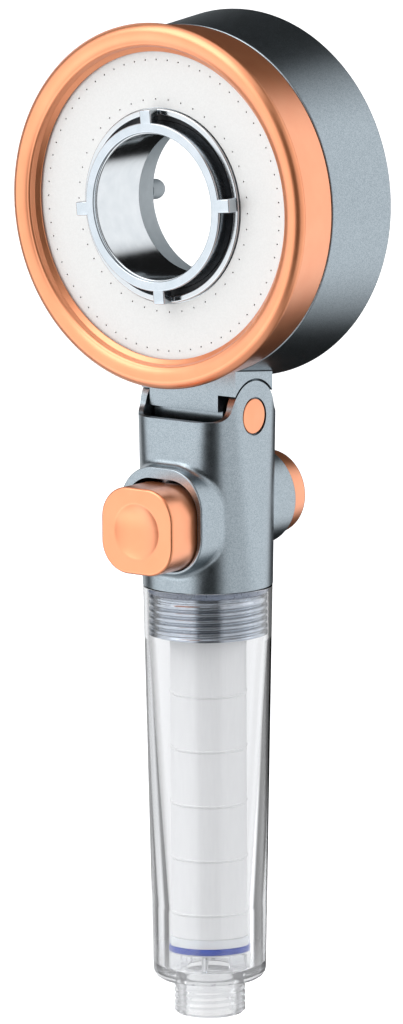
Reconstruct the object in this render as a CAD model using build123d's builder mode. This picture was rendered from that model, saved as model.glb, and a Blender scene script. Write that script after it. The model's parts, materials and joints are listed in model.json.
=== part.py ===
from build123d import *
import os

os.makedirs("parts", exist_ok=True)

# Handheld ring shower head, in millimetres.
# Origin: the centre of the inlet thread's end face. +Z runs up the handle,
# the spray face and the stop button look towards -Y, and the tilt axle lies along X.

# ---- driving dimensions -----------------------------------------------------------
THREAD_R = 20.955 / 2  # G 1/2 pipe thread, major radius
THREAD_CHAMFER = 0.8
INLET_BORE_R = 7.0
NECK_TOP = 10.6  # the threaded neck ends at the clear handle's foot

SEAM_Z = 128.3  # the metallic handle starts here
SEAM_R = 18.9
SEAM_GAP = 0.3
FOOT_R = 16.5  # clear handle's radius above its foot
FOOT_ROUND = 4.0

SEAM_CORNER = SEAM_R - 0.3  # nearly a circle
TOP_Z = 192.0
TOP_HALF = 17.0
TOP_CORNER = 9.2
SHELL_WALL = 2.8

BUTTON_Z = 148.0  # axis of the stop valve, along Y
STOP_TRAVEL = 5.0
PIVOT_Z = 179.0  # axis of the tilt axle, along X
EAR_R = 10.3
LIP_Z = 178.5
LIP_ROUND = 5.0
AXLE_R = 4.0
RUNNING_GAP = 0.06
REAR_BOSS_Z = BUTTON_Z + 3.2  # the return cap sits higher than the spool that it covers

HEAD_Z = 241.1  # axis of the head, along Y
FACE_Y = 25.4  # the lug ring's front stands this far in front of the handle axis
PLATE_Y = 20.3
PLATE_THICKNESS = 0.8
BEZEL_R = 52.8
BAND_REAR_Y = -7.3
SHELL_FRONT_Y = -7.0
SHELL_FRONT_R = 51.0
SHELL_REAR_Y = 17.8
SHELL_REAR_R = 53.65
HUB_R = 26.6
BORE_R = 21.0
SLEEVE_R = 22.7

HANDLE_AXIS = Axis.Z
HEAD_AXIS = Axis((0, 0, HEAD_Z), (0, 1, 0))
VALVE_AXIS = Axis((0, 0, BUTTON_Z), (0, 1, 0))
REAR_AXIS = Axis((0, 0, REAR_BOSS_Z), (0, 1, 0))
PIVOT_AXIS = Axis((0, 0, PIVOT_Z), (1, 0, 0))
# section planes: the first sketch axis runs along the part, the second is the radius
HANDLE_SECTION = Plane(origin=(0, 0, 0), x_dir=(0, 0, 1), z_dir=(0, -1, 0))
HEAD_SECTION = Plane(origin=(0, 0, HEAD_Z), x_dir=(0, 1, 0), z_dir=(1, 0, 0))
VALVE_SECTION = Plane(origin=(0, 0, BUTTON_Z), x_dir=(0, 1, 0), z_dir=(1, 0, 0))
REAR_SECTION = Plane(origin=(0, 0, REAR_BOSS_Z), x_dir=(0, 1, 0), z_dir=(1, 0, 0))
PIVOT_SECTION = Plane(origin=(0, 0, PIVOT_Z), x_dir=(1, 0, 0), z_dir=(0, -1, 0))


def turn(outline, section, axis, mode=Mode.ADD):
    """Revolve a closed outline of (along, radius) points into the current part."""
    with BuildSketch(section) as profile:
        with BuildLine():
            Polyline(*outline, close=True)
        make_face()
    revolve(profile.sketch, axis=axis, mode=mode)


def tube(start, end, inner, outer):
    """Outline of a plain ring between two places along the axis."""
    return [(start, inner), (end, inner), (end, outer), (start, outer)]


def rod(start, end, radius):
    """Outline of a solid rod between two places along the axis."""
    return [(start, 0), (end, 0), (end, radius), (start, radius)]


def seal_ring(section, axis, along, ring_r, cord_r):
    """An O-ring of the current part: a round cord bent round the axis."""
    with BuildSketch(section) as cord:
        with Locations((along, ring_r)):
            Circle(cord_r)
    revolve(cord.sketch, axis=axis)


# ==== clear handle and its filter =====================================================
SPIGOT_FOOT_Z = 113.4
SPIGOT_BORE_R = 12.2
SOCKET_R = 17.7  # threaded socket at the clear handle's top
CHAMBER_TOP_R = 15.1
CHAMBER_LOW_R = 14.0
CUP_Z = 32.0  # the bore narrows to the filter's cup below this height
CUP_R = 12.0
CUP_FLOOR_Z = 14.0
FILTER_FOOT_Z = 19.0
RIB_COUNT = 6

with BuildPart() as clear_handle:
    with BuildSketch(Plane.XZ) as wall:
        with BuildLine():
            Polyline(
                (INLET_BORE_R, 0),
                (THREAD_R - THREAD_CHAMFER, 0),
                (THREAD_R, THREAD_CHAMFER),
                (THREAD_R, NECK_TOP),
                (FOOT_R, NECK_TOP),
                (SEAM_R, SEAM_Z - SEAM_GAP),
                (SOCKET_R, SEAM_Z - SEAM_GAP),
                (SOCKET_R, SPIGOT_FOOT_Z - 1),
                (CHAMBER_TOP_R, SPIGOT_FOOT_Z - 2),
                (CHAMBER_LOW_R, CUP_Z + 1),
                (CUP_R, CUP_Z),
                (CUP_R, CUP_FLOOR_Z),
                (INLET_BORE_R, CUP_FLOOR_Z),
                close=True,
            )
        make_face()
        fillet(wall.vertices().sort_by_distance((FOOT_R, NECK_TOP))[0], FOOT_ROUND)
    revolve(axis=HANDLE_AXIS)
    # fins on the cup floor carry the filter and let the water in below it
    with Locations((0, 0, CUP_FLOOR_Z - 0.5)):
        with PolarLocations((INLET_BORE_R + CUP_R) / 2 + 0.3, RIB_COUNT):
            Box(
                CUP_R - INLET_BORE_R,
                1.2,
                FILTER_FOOT_Z - CUP_FLOOR_Z + 0.5,
                align=(Align.CENTER, Align.CENTER, Align.MIN),
            )
clear_handle.part.label = "clear_handle"
export_step(clear_handle.part, "parts/clear_handle.step")

FILTER_R = 11.2
HOOP_PROUD = 0.25
HOOP_HEIGHT = 0.6
HOOP_FIRST_Z = 31.1
HOOP_PITCH = 16.2
HOOP_COUNT = 5
MEDIA_FOOT_Z = 24.0
MEDIA_TOP_Z = 113.0
CORE_R = 5.0

with BuildPart() as filter_sleeve:
    turn(tube(MEDIA_FOOT_Z, MEDIA_TOP_Z, CORE_R + 0.1, FILTER_R), HANDLE_SECTION, HANDLE_AXIS)
    for hoop in range(HOOP_COUNT):
        hoop_z = HOOP_FIRST_Z + hoop * HOOP_PITCH
        turn(
            tube(hoop_z, hoop_z + HOOP_HEIGHT, FILTER_R - 1, FILTER_R + HOOP_PROUD),
            HANDLE_SECTION,
            HANDLE_AXIS,
        )
filter_sleeve.part.label = "filter_sleeve"
export_step(filter_sleeve.part, "parts/filter_sleeve.step")

CORE_WINDOW_R = 1.2
CORE_WINDOW_ROWS = 8

with BuildPart() as filter_core:
    turn(tube(MEDIA_FOOT_Z, MEDIA_TOP_Z, CORE_R - 1, CORE_R), HANDLE_SECTION, HANDLE_AXIS)
    for row in range(CORE_WINDOW_ROWS):
        row_z = MEDIA_FOOT_Z + 8 + row * 10
        with Locations(Location((0, 0, row_z), (90, 0, 0)), Location((0, 0, row_z), (0, 90, 0))):
            Cylinder(CORE_WINDOW_R, 4 * CORE_R, mode=Mode.SUBTRACT)
filter_core.part.label = "filter_core"
export_step(filter_core.part, "parts/filter_core.step")

with BuildPart() as filter_top_cap:
    turn(rod(MEDIA_TOP_Z, MEDIA_TOP_Z + 3, FILTER_R), HANDLE_SECTION, HANDLE_AXIS)
    turn(rod(MEDIA_TOP_Z + 3, MEDIA_TOP_Z + 6, 3), HANDLE_SECTION, HANDLE_AXIS)
    # three fingers centre the filter in the spigot and leave the water its way out
    with Locations((0, 0, MEDIA_TOP_Z)):
        with PolarLocations(FILTER_R - 1, 3):
            Box(3.6, 2, 3, align=(Align.CENTER, Align.CENTER, Align.MIN))
    turn(
        tube(MEDIA_TOP_Z, MEDIA_TOP_Z + 6, SPIGOT_BORE_R - 0.15, SPIGOT_BORE_R + 3),
        HANDLE_SECTION,
        HANDLE_AXIS,
        mode=Mode.SUBTRACT,
    )
filter_top_cap.part.label = "filter_top_cap"
export_step(filter_top_cap.part, "parts/filter_top_cap.step")

SEAL_LOW_Z = 19.4
SEAL_HIGH_Z = 21.4

with BuildPart() as filter_bottom_cap:
    turn(
        [
            (FILTER_FOOT_Z, CORE_R - 1),
            (MEDIA_FOOT_Z, CORE_R - 1),
            (MEDIA_FOOT_Z, FILTER_R + HOOP_PROUD),
            (SEAL_HIGH_Z, FILTER_R + HOOP_PROUD),
            (SEAL_HIGH_Z, FILTER_R - 0.8),
            (SEAL_LOW_Z, FILTER_R - 0.8),
            (SEAL_LOW_Z, FILTER_R),
            (FILTER_FOOT_Z, FILTER_R),
        ],
        HANDLE_SECTION,
        HANDLE_AXIS,
    )
filter_bottom_cap.part.label = "filter_bottom_cap"
export_step(filter_bottom_cap.part, "parts/filter_bottom_cap.step")

with BuildPart() as filter_seal:
    turn(
        tube(SEAL_LOW_Z + 0.05, SEAL_HIGH_Z - 0.05, FILTER_R - 0.75, CUP_R - 0.1),
        HANDLE_SECTION,
        HANDLE_AXIS,
    )
filter_seal.part.label = "filter_seal"
export_step(filter_seal.part, "parts/filter_seal.step")

# ==== metallic handle =================================================================
BOSS_WIDE = 30.0
BOSS_TALL = 31.0
BOSS_CORNER = 12.0
BOSS_Z = BUTTON_Z + 1.6
BOSS_Y = 22.0
BOSS_DRAFT = 2.5
BOSS_BLEND = 2.4
OPENING_WIDE = 26.7
OPENING_TALL = 27.0
OPENING_CORNER = 9.8
OPENING_Z = BUTTON_Z + 0.4
REAR_BOSS_R = 14.6
REAR_BOSS_Y = 23.5
REAR_BORE_R = 13.65
WALL_IN_Y = 8.0  # bosses and openings start inside the hollow handle
EAR_FACE_X = 17.37
CAP_R = 5.15
CAP_RECESS_R = 5.6
CAP_RECESS = 1.25
INSIDE_TOP_HALF = 14.5
INSIDE_TOP_CORNER = 3.0

with BuildPart() as handle_shell:
    # round at the seam, a rounded square at the top
    with BuildSketch(Plane.XY.offset(SEAM_Z)):
        RectangleRounded(2 * SEAM_R, 2 * SEAM_R, SEAM_CORNER)
    with BuildSketch(Plane.XY.offset(TOP_Z)):
        RectangleRounded(2 * TOP_HALF, 2 * TOP_HALF, TOP_CORNER)
    loft(ruled=True)
    # front boss round the stop button, blended into the body
    with BuildSketch(Plane.XZ.offset(BOSS_Y)):
        with Locations((0, BOSS_Z)):
            RectangleRounded(BOSS_WIDE, BOSS_TALL, BOSS_CORNER)
    extrude(amount=-(BOSS_Y - WALL_IN_Y), taper=-BOSS_DRAFT)
    boss_root = handle_shell.edges().filter_by(
        lambda edge: -BOSS_Y + 3 < edge.bounding_box().min.Y
        and edge.bounding_box().max.Y < -WALL_IN_Y
        and abs(edge.center().Z - BOSS_Z) < BOSS_TALL / 2 + 2
    )
    fillet(boss_root, BOSS_BLEND)
    boss_rim = handle_shell.faces().sort_by(Axis.Y)[0].edges()
    fillet(boss_rim, 0.5)
    # round boss behind, for the return cap
    with BuildSketch(Plane.XZ.offset(-REAR_BOSS_Y)):
        with Locations((0, REAR_BOSS_Z)):
            Circle(REAR_BOSS_R)
    extrude(amount=REAR_BOSS_Y - WALL_IN_Y)
    fillet(handle_shell.faces().sort_by(Axis.Y)[-1].edges(), 0.35)
    # inside, one wall thickness in
    with BuildSketch(Plane.XY.offset(SEAM_Z)):
        RectangleRounded(
            2 * (SEAM_R - SHELL_WALL), 2 * (SEAM_R - SHELL_WALL), SEAM_CORNER - SHELL_WALL
        )
    with BuildSketch(Plane.XY.offset(TOP_Z)):
        RectangleRounded(2 * INSIDE_TOP_HALF, 2 * INSIDE_TOP_HALF, INSIDE_TOP_CORNER)
    loft(ruled=True, mode=Mode.SUBTRACT)
    # button opening and rear bore
    with BuildSketch(Plane.XZ.offset(BOSS_Y)):
        with Locations((0, OPENING_Z)):
            RectangleRounded(OPENING_WIDE, OPENING_TALL, OPENING_CORNER)
    extrude(amount=-(BOSS_Y - WALL_IN_Y), mode=Mode.SUBTRACT)
    turn(
        rod(WALL_IN_Y, REAR_BOSS_Y, REAR_BORE_R), REAR_SECTION, REAR_AXIS, mode=Mode.SUBTRACT
    )
    # seen from the side: two round ears over a lip
    with BuildSketch(Plane.YZ) as side_view:
        with Locations((0, LIP_Z)):
            Rectangle(4 * SEAM_R, LIP_Z - SEAM_Z, align=(Align.CENTER, Align.MAX))
        with Locations((0, PIVOT_Z)):
            Circle(EAR_R)
        lip_line = side_view.vertices().filter_by_position(Axis.Y, LIP_Z - 0.01, LIP_Z + 0.01)
        fillet(lip_line.filter_by_position(Axis.X, -EAR_R, EAR_R), LIP_ROUND)
    extrude(amount=2 * SEAM_R, both=True, mode=Mode.INTERSECT)
    # axle holes, each with a recess for its cap
    turn(rod(-SEAM_R, SEAM_R, AXLE_R + RUNNING_GAP), PIVOT_SECTION, PIVOT_AXIS, mode=Mode.SUBTRACT)
    for side in (-1, 1):
        turn(
            rod(side * (EAR_FACE_X - CAP_RECESS), side * SEAM_R, CAP_RECESS_R),
            PIVOT_SECTION,
            PIVOT_AXIS,
            mode=Mode.SUBTRACT,
        )
handle_shell.part.label = "handle_shell"
export_step(handle_shell.part, "parts/handle_shell.step")

# ---- valve body: threaded spigot below, valve block above ------------------------------
SPIGOT_ROOT_R = 16.2
THREAD_TOP_Z = 125.7
COLLAR_R = 15.8
SEAL_ROOT_R = 15.7
BLOCK_Z = 134.0
BLOCK_TOP_Z = 166.0
BLOCK_HALF = 13.4
SLEEVE_BORE_R = 9.05
WATERWAY_R = 4.5
PORT_R = 2.4
SCREW_R = 1.2
FEED_SCREW_X = -9.5
FEED_SCREW_Y = 6.5
FEED_SCREW_DEPTH = 7.0

with BuildPart() as valve_body:
    turn(
        [
            (SPIGOT_FOOT_Z, SPIGOT_BORE_R),
            (THREAD_TOP_Z - 1, SPIGOT_BORE_R),
            (THREAD_TOP_Z - 1, WATERWAY_R),
            (BLOCK_Z + 0.1, WATERWAY_R),
            (BLOCK_Z + 0.1, COLLAR_R),
            (SEAM_Z, COLLAR_R),
            (SEAM_Z, SEAL_ROOT_R),
            (THREAD_TOP_Z, SEAL_ROOT_R),
            (THREAD_TOP_Z, SPIGOT_ROOT_R),
            (SPIGOT_FOOT_Z, SPIGOT_ROOT_R),
        ],
        HANDLE_SECTION,
        HANDLE_AXIS,
    )
    with BuildSketch(Plane.XY.offset(BLOCK_Z)):
        RectangleRounded(2 * BLOCK_HALF, 2 * BLOCK_HALF, 8)
    extrude(amount=BLOCK_TOP_Z - BLOCK_Z)
    turn(rod(-20, 20, SLEEVE_BORE_R), VALVE_SECTION, VALVE_AXIS, mode=Mode.SUBTRACT)
    turn(rod(BLOCK_Z, BLOCK_TOP_Z, WATERWAY_R), HANDLE_SECTION, HANDLE_AXIS, mode=Mode.SUBTRACT)
    with Locations(
        (FEED_SCREW_X, FEED_SCREW_Y, BLOCK_TOP_Z), (FEED_SCREW_X, -FEED_SCREW_Y, BLOCK_TOP_Z)
    ):
        Cylinder(SCREW_R + 0.05, 2 * FEED_SCREW_DEPTH, mode=Mode.SUBTRACT)
valve_body.part.label = "valve_body"
export_step(valve_body.part, "parts/valve_body.step")

# ---- the spigot's thread, a ridge wound round its root ----------------------------------
SPIGOT_PITCH = 2.0
RIDGE_PROUD = 1.1
RIDGE_ROOT_HALF = 0.75
RIDGE_CREST_HALF = 0.3

with BuildPart() as spigot_thread:
    with BuildLine() as winding:
        Helix(
            pitch=SPIGOT_PITCH,
            height=THREAD_TOP_Z - SPIGOT_FOOT_Z - 2.2,
            radius=SPIGOT_ROOT_R,
            center=(0, 0, SPIGOT_FOOT_Z + 1.1),
        )
    with BuildSketch(Plane(origin=winding.line @ 0, x_dir=(1, 0, 0), z_dir=winding.line % 0)):
        with BuildLine():
            Polyline(
                (0.03, -RIDGE_ROOT_HALF),
                (RIDGE_PROUD, -RIDGE_CREST_HALF),
                (RIDGE_PROUD, RIDGE_CREST_HALF),
                (0.03, RIDGE_ROOT_HALF),
                close=True,
            )
        make_face()
    sweep(path=winding.line, is_frenet=True)
spigot_thread.part.label = "spigot_thread"
export_step(spigot_thread.part, "parts/spigot_thread.step")

with BuildPart() as handle_seal:
    seal_ring(HANDLE_SECTION, HANDLE_AXIS, SEAM_Z - 1.3, (SEAL_ROOT_R + SOCKET_R) / 2, 0.98)
handle_seal.part.label = "handle_seal"
export_step(handle_seal.part, "parts/handle_seal.step")

# ---- stop valve's fixed sleeve -----------------------------------------------------------
SPOOL_BORE_R = 7.0
SLEEVE_HALF = 13.4

with BuildPart() as valve_sleeve:
    turn(
        tube(-SLEEVE_HALF, SLEEVE_HALF, SPOOL_BORE_R, SLEEVE_BORE_R - 0.05),
        VALVE_SECTION,
        VALVE_AXIS,
    )
    with Locations((0, 0, BUTTON_Z)):
        Cylinder(PORT_R, 4 * SLEEVE_BORE_R, mode=Mode.SUBTRACT)
valve_sleeve.part.label = "valve_sleeve"
export_step(valve_sleeve.part, "parts/valve_sleeve.step")

# ---- feed arm: carries the water from the valve block to the hollow axle ------------------
ARM_IN_X = 11.4
ARM_OUT_X = 14.2
ARM_HALF_Y = 6.0
FEED_TOP_Z = 168.6

with BuildPart() as feed_arm:
    with BuildSketch(Plane.XY.offset(BLOCK_TOP_Z + 0.05)):
        RectangleRounded(2 * 13, 2 * 9.5, 4)
    extrude(amount=FEED_TOP_Z - BLOCK_TOP_Z)
    with BuildSketch(Plane.YZ.offset(ARM_IN_X)):
        with Locations((0, BLOCK_TOP_Z + 0.05)):
            Rectangle(
                2 * ARM_HALF_Y, PIVOT_Z - BLOCK_TOP_Z, align=(Align.CENTER, Align.MIN)
            )
        with Locations((0, PIVOT_Z)):
            Circle(ARM_HALF_Y)
    extrude(amount=ARM_OUT_X - ARM_IN_X)
    turn(rod(10, 16, AXLE_R + RUNNING_GAP), PIVOT_SECTION, PIVOT_AXIS, mode=Mode.SUBTRACT)
    # flat channel along the base and up the arm
    with Locations((4, 0, BLOCK_TOP_Z)):
        Box(18, 7, 1.3, align=(Align.CENTER, Align.CENTER, Align.MIN), mode=Mode.SUBTRACT)
    with Locations(((ARM_IN_X + ARM_OUT_X) / 2, 0, BLOCK_TOP_Z)):
        Box(1.2, 6, 11, align=(Align.CENTER, Align.CENTER, Align.MIN), mode=Mode.SUBTRACT)
    with Locations(
        (FEED_SCREW_X, FEED_SCREW_Y, FEED_TOP_Z), (FEED_SCREW_X, -FEED_SCREW_Y, FEED_TOP_Z)
    ):
        Cylinder(SCREW_R + 0.1, 8, mode=Mode.SUBTRACT)
feed_arm.part.label = "feed_arm"
export_step(feed_arm.part, "parts/feed_arm.step")

FEED_HEAD_Z = FEED_TOP_Z + 0.1

with BuildPart() as feed_screws:
    with Locations(
        (FEED_SCREW_X, FEED_SCREW_Y, FEED_HEAD_Z), (FEED_SCREW_X, -FEED_SCREW_Y, FEED_HEAD_Z)
    ):
        Cylinder(SCREW_R, 8.5, align=(Align.CENTER, Align.CENTER, Align.MAX))
        Cylinder(2.1, 1.4, align=(Align.CENTER, Align.CENTER, Align.MIN))
feed_screws.part.label = "feed_screws"
export_step(feed_screws.part, "parts/feed_screws.step")

# ---- hollow tilt axle and its two caps ------------------------------------------------------
AXLE_BORE_R = 2.6
AXLE_HALF = 15.9

with BuildPart() as pivot_axle:
    turn(tube(-AXLE_HALF, AXLE_HALF, AXLE_BORE_R, AXLE_R), PIVOT_SECTION, PIVOT_AXIS)
    # water holes: into the neck at the middle, from the feed arm at the right
    with Locations((0, 0, PIVOT_Z)):
        Cylinder(2.2, 4 * AXLE_R, mode=Mode.SUBTRACT)
    with Locations(((ARM_IN_X + ARM_OUT_X) / 2, 0, PIVOT_Z - AXLE_R)):
        Cylinder(0.9, 2 * AXLE_R, mode=Mode.SUBTRACT)
pivot_axle.part.label = "pivot_axle"
export_step(pivot_axle.part, "parts/pivot_axle.step")


def cap_outline(side):
    """A domed cap on a plug that fills the axle's end; side is -1 or 1 along X."""
    return [
        (side * 14.0, 0),
        (side * (EAR_FACE_X + 0.05), 0),
        (side * (EAR_FACE_X + 0.05), CAP_R - 0.35),
        (side * (EAR_FACE_X - 0.25), CAP_R),
        (side * (EAR_FACE_X - CAP_RECESS + 0.1), CAP_R),
        (side * (EAR_FACE_X - CAP_RECESS + 0.1), AXLE_BORE_R - 0.04),
        (side * 14.0, AXLE_BORE_R - 0.04),
    ]


with BuildPart() as pin_cap_left:
    turn(cap_outline(-1), PIVOT_SECTION, PIVOT_AXIS)
pin_cap_left.part.label = "pin_cap_left"
export_step(pin_cap_left.part, "parts/pin_cap_left.step")

with BuildPart() as pin_cap_right:
    turn(cap_outline(1), PIVOT_SECTION, PIVOT_AXIS)
pin_cap_right.part.label = "pin_cap_right"
export_step(pin_cap_right.part, "parts/pin_cap_right.step")

# ==== stop valve, the pieces that slide ==================================================
BUTTON_FACE_Y = 33.5
BUTTON_BACK_Y = 19.9
BUTTON_WIDE = 26.0
BUTTON_TALL = 25.3
BUTTON_CORNER = 9.4
DIMPLE_R = 8.3
DIMPLE_DEPTH = 1.9
STUB_R = 4.0
STUB_FRONT_Y = 26.0

with BuildPart() as stop_button:
    with BuildSketch(Plane.XZ.offset(BUTTON_FACE_Y)):
        with Locations((0, BUTTON_Z)):
            RectangleRounded(BUTTON_WIDE, BUTTON_TALL, BUTTON_CORNER)
    extrude(amount=-(BUTTON_FACE_Y - BUTTON_BACK_Y))
    fillet(stop_button.faces().sort_by(Axis.Y)[0].edges(), 0.9)
    # finger dimple, part of a sphere
    dimple_sphere_r = (DIMPLE_R**2 + DIMPLE_DEPTH**2) / (2 * DIMPLE_DEPTH)
    with Locations((0, -BUTTON_FACE_Y - dimple_sphere_r + DIMPLE_DEPTH, BUTTON_Z)):
        Sphere(dimple_sphere_r, mode=Mode.SUBTRACT)
    # hollow behind, round a hub for the spool's stub
    with BuildSketch(Plane.XZ.offset(BUTTON_BACK_Y)):
        with Locations((0, BUTTON_Z)):
            RectangleRounded(BUTTON_WIDE - 4, BUTTON_TALL - 4, BUTTON_CORNER - 2)
            Circle(STUB_R + 2, mode=Mode.SUBTRACT)
    extrude(amount=BUTTON_FACE_Y - BUTTON_BACK_Y - 4.5, mode=Mode.SUBTRACT)
    turn(
        rod(-STUB_FRONT_Y - 0.1, -BUTTON_BACK_Y, STUB_R + 0.03),
        VALVE_SECTION,
        VALVE_AXIS,
        mode=Mode.SUBTRACT,
    )
stop_button.part.label = "stop_button"
export_step(stop_button.part, "parts/stop_button.step")

SPOOL_R = 6.92
WAIST_R = 4.2
WAIST_HALF = 2.6
GROOVE_R = 5.4
GROOVE_HALF = 0.9
O_RING_PLACES = (-9.0, -5.2, 9.0)
SPOOL_HALF = 13.2
STUB_REAR_Y = 24.0

with BuildPart() as valve_spool:
    turn(rod(-SPOOL_HALF, SPOOL_HALF, SPOOL_R), VALVE_SECTION, VALVE_AXIS)
    turn(rod(-STUB_FRONT_Y, STUB_REAR_Y, STUB_R), VALVE_SECTION, VALVE_AXIS)
    turn(
        tube(-WAIST_HALF, WAIST_HALF, WAIST_R, SPOOL_R + 1),
        VALVE_SECTION,
        VALVE_AXIS,
        mode=Mode.SUBTRACT,
    )
    for place in O_RING_PLACES:
        turn(
            tube(place - GROOVE_HALF, place + GROOVE_HALF, GROOVE_R, SPOOL_R + 1),
            VALVE_SECTION,
            VALVE_AXIS,
            mode=Mode.SUBTRACT,
        )
valve_spool.part.label = "valve_spool"
export_step(valve_spool.part, "parts/valve_spool.step")

with BuildPart() as spool_o_rings:
    for place in O_RING_PLACES:
        seal_ring(VALVE_SECTION, VALVE_AXIS, place, 6.18, 0.76)
spool_o_rings.part.label = "spool_o_rings"
export_step(spool_o_rings.part, "parts/spool_o_rings.step")

REAR_CAP_R = 13.4
REAR_CAP_END_R = 12.4
REAR_CAP_Y = 31.5
REAR_CAP_IN_Y = 17.5

with BuildPart() as rear_cap:
    # a cup that tapers beyond the boss
    turn(
        [
            (REAR_CAP_Y - 3, 0),
            (REAR_CAP_Y, 0),
            (REAR_CAP_Y, REAR_CAP_END_R - 1.2),
            (REAR_CAP_Y - 0.35, REAR_CAP_END_R - 0.35),
            (REAR_CAP_Y - 1.2, REAR_CAP_END_R),
            (REAR_BOSS_Y, REAR_CAP_R),
            (REAR_CAP_IN_Y, REAR_CAP_R),
            (REAR_CAP_IN_Y, REAR_CAP_R - 2),
            (REAR_BOSS_Y, REAR_CAP_R - 2),
            (REAR_CAP_Y - 3, REAR_CAP_END_R - 2),
        ],
        REAR_SECTION,
        REAR_AXIS,
    )
    # the hub inside it is pressed on the spool's stub
    turn(rod(REAR_CAP_IN_Y, REAR_CAP_Y - 2, STUB_R + 2), VALVE_SECTION, VALVE_AXIS)
    turn(
        rod(REAR_CAP_IN_Y, STUB_REAR_Y + 0.1, STUB_R + 0.03),
        VALVE_SECTION,
        VALVE_AXIS,
        mode=Mode.SUBTRACT,
    )
rear_cap.part.label = "rear_cap"
export_step(rear_cap.part, "parts/rear_cap.step")

# ==== head: shell, trim and face =========================================================
DISH_MID_Y = 6.6
DISH_MID_R = 39.6
HUB_Y = 2.6
HEAD_WALL = 2.2
SPOUT_Y = 1.2
SPOUT_R = 3.6
NECK_SCREW_X = 11.5
NECK_SCREW_Y = 2.6

with BuildPart() as head_shell:
    with BuildSketch(HEAD_SECTION) as shell_section:
        with BuildLine():
            # outside: a gently flared side, then the dished back down to the hub
            Line((SHELL_FRONT_Y + 0.4, SHELL_FRONT_R), (SHELL_REAR_Y - 1, SHELL_REAR_R))
            Polyline(
                (SHELL_REAR_Y - 1, SHELL_REAR_R),
                (SHELL_REAR_Y - 0.3, SHELL_REAR_R - 0.3),
                (SHELL_REAR_Y, SHELL_REAR_R - 1.2),
            )
            ThreePointArc(
                (SHELL_REAR_Y, SHELL_REAR_R - 1.2), (DISH_MID_Y, DISH_MID_R), (HUB_Y, HUB_R)
            )
            # inside, one wall thickness in
            Line((HUB_Y, HUB_R), (HUB_Y - HEAD_WALL, HUB_R))
            ThreePointArc(
                (HUB_Y - HEAD_WALL, HUB_R),
                (DISH_MID_Y - HEAD_WALL, DISH_MID_R),
                (SHELL_REAR_Y - 3.2, SHELL_REAR_R - 3.3),
            )
            Polyline(
                (SHELL_REAR_Y - 3.2, SHELL_REAR_R - 3.3),
                (SHELL_FRONT_Y, SHELL_FRONT_R - 2.3),
                (SHELL_FRONT_Y, SHELL_FRONT_R - 0.4),
                (SHELL_FRONT_Y + 0.4, SHELL_FRONT_R),
            )
        make_face()
    revolve(axis=HEAD_AXIS)
    # the water inlet and two screws pass through the side at the bottom
    with Locations((0, SPOUT_Y, HEAD_Z - SHELL_FRONT_R)):
        Cylinder(SPOUT_R + 0.2, 12, mode=Mode.SUBTRACT)
    with Locations(
        (NECK_SCREW_X, NECK_SCREW_Y, HEAD_Z - SHELL_FRONT_R + 1),
        (-NECK_SCREW_X, NECK_SCREW_Y, HEAD_Z - SHELL_FRONT_R + 1),
    ):
        Cylinder(SCREW_R + 0.15, 9, mode=Mode.SUBTRACT)
head_shell.part.label = "head_shell"
export_step(head_shell.part, "parts/head_shell.step")

BAND_FRONT_Y = -21.8
BAND_FRONT_R = 52.2
BAND_STEP_Y = -16.5
BEZEL_SKIRT_R = 50.6
TONGUE_R = 48.4
TONGUE_END_Y = -3.6

with BuildPart() as trim_band:
    turn(
        [
            (BAND_FRONT_Y, BEZEL_SKIRT_R + 0.25),
            (BAND_FRONT_Y, BAND_FRONT_R - 0.3),
            (BAND_FRONT_Y + 0.3, BAND_FRONT_R),
            (BAND_REAR_Y, SHELL_FRONT_R),
            (BAND_REAR_Y, TONGUE_R),
            (TONGUE_END_Y, TONGUE_R),
            (TONGUE_END_Y, TONGUE_R - 1.9),
            (BAND_STEP_Y, TONGUE_R - 1.9),
            (BAND_STEP_Y, BEZEL_SKIRT_R + 0.25),
        ],
        HEAD_SECTION,
        HEAD_AXIS,
    )
trim_band.part.label = "trim_band"
export_step(trim_band.part, "parts/trim_band.step")

BEZEL_FOOT_Y = -PLATE_Y - 0.1
BEZEL_FOOT_R = 43.8
BEZEL_LIP_Y = -22.1
VALLEY_Y = -23.5
VALLEY_R = 47.0
CROWN_Y = -25.0
CROWN_R = 50.2

with BuildPart() as bezel_ring:
    with BuildSketch(HEAD_SECTION):
        with BuildLine():
            Polyline((BEZEL_FOOT_Y, 46.95), (BEZEL_FOOT_Y, BEZEL_FOOT_R), (BEZEL_LIP_Y, 45.7))
            # inner band, a shallow valley, then the broad outer crown
            ThreePointArc((BEZEL_LIP_Y, 45.7), (-23.2, 46.1), (VALLEY_Y, VALLEY_R))
            ThreePointArc((VALLEY_Y, VALLEY_R), (-24.6, 48.4), (CROWN_Y, CROWN_R))
            ThreePointArc((CROWN_Y, CROWN_R), (-24.5, 52.0), (BEZEL_LIP_Y - 0.7, BEZEL_R))
            Polyline(
                (BEZEL_LIP_Y - 0.7, BEZEL_R),
                (BEZEL_LIP_Y, BEZEL_R - 0.2),
                (BEZEL_LIP_Y, BEZEL_SKIRT_R),
                (BAND_STEP_Y - 0.3, BEZEL_SKIRT_R),
                (BAND_STEP_Y - 0.3, 46.95),
                (BEZEL_FOOT_Y, 46.95),
            )
        make_face()
    revolve(axis=HEAD_AXIS)
bezel_ring.part.label = "bezel_ring"
export_step(bezel_ring.part, "parts/bezel_ring.step")

PLATE_R = 46.7
PLATE_HOLE_R = 28.3
JET_R = 0.25
INNER_JETS_R = 30.7
INNER_JETS = 42
OUTER_JETS_R = 42.0
OUTER_JETS = 66

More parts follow.
